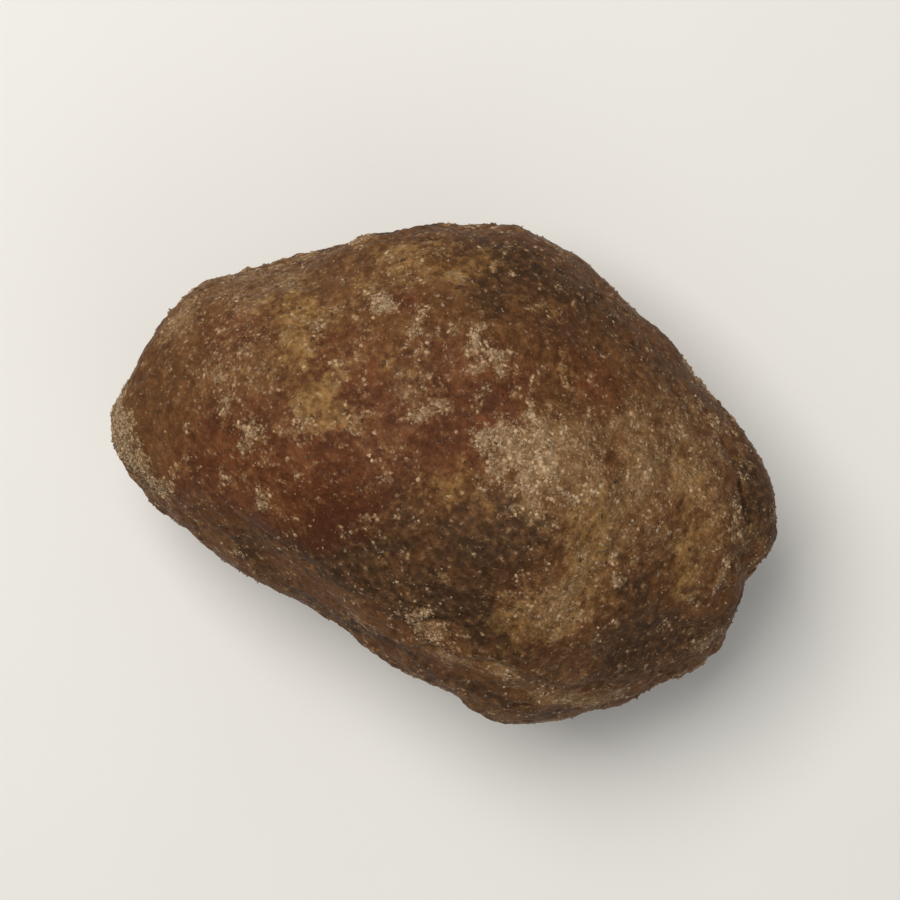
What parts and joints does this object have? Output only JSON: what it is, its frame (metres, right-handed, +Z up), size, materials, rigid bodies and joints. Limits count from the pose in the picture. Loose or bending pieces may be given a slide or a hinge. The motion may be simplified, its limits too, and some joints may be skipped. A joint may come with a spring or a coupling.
{
  "type": "jaggery lump",
  "caption": "Hand-shaped lump of brown unrefined cane sugar, drawn out at one end and blunt at the other, lying on a small flat; a food prop that is grated or broken up for use.",
  "frame": {"origin": "middle of the base of the lump's box, on the surface that it lies on", "axes": "+X along the lump's long axis towards its blunt end, +Y across it towards the rounded back, +Z up from the flat foot to the crown"},
  "size_m": [0.094, 0.0654, 0.057],
  "materials": {
    "jaggery": "waxy brown sugar with pale crystal frosting"
  },
  "bodies": {
    "root": {"jaggery_lump": "jaggery"}
  },
  "joints": []
}
